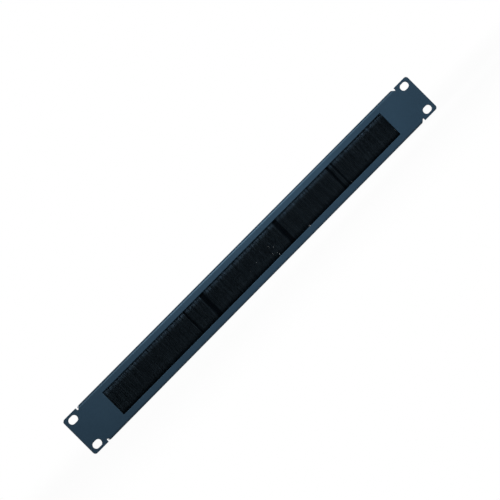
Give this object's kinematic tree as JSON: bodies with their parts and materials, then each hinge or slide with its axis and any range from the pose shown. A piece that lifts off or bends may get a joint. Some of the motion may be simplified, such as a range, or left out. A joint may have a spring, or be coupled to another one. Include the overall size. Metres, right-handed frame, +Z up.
{
  "type": "rack brush strip panel",
  "caption": "Rack-mount cable entry panel: a long folded sheet front with slotted ears and a wide opening that a hanging strip brush closes from behind.",
  "frame": {"origin": "on the back face of the ears, which bears on the rack rails, midway between the rack slots", "axes": "+X along the panel to the right as seen from the front, +Z up, the front faces -Y"},
  "size_m": [0.4826, 0.012, 0.044],
  "materials": {
    "powder_coat": "satin dark blue-grey powder coat",
    "galvanised": "dull galvanised strip",
    "zinc_plate": "bright zinc plate",
    "nylon": "black nylon filament with a slight shine"
  },
  "bodies": {
    "root": {"front_panel": "powder_coat", "brush_channel": "galvanised", "core_wire": "galvanised", "bristles": "nylon", "clamp_rail": "powder_coat", "weld_stud_1": "zinc_plate", "weld_stud_2": "zinc_plate", "weld_stud_3": "zinc_plate", "weld_stud_4": "zinc_plate", "plain_washer_1": "zinc_plate", "plain_washer_2": "zinc_plate", "plain_washer_3": "zinc_plate", "plain_washer_4": "zinc_plate", "spring_washer_1": "zinc_plate", "spring_washer_2": "zinc_plate", "spring_washer_3": "zinc_plate", "spring_washer_4": "zinc_plate", "hex_nut_1": "zinc_plate", "hex_nut_2": "zinc_plate", "hex_nut_3": "zinc_plate", "hex_nut_4": "zinc_plate"}
  },
  "joints": []
}
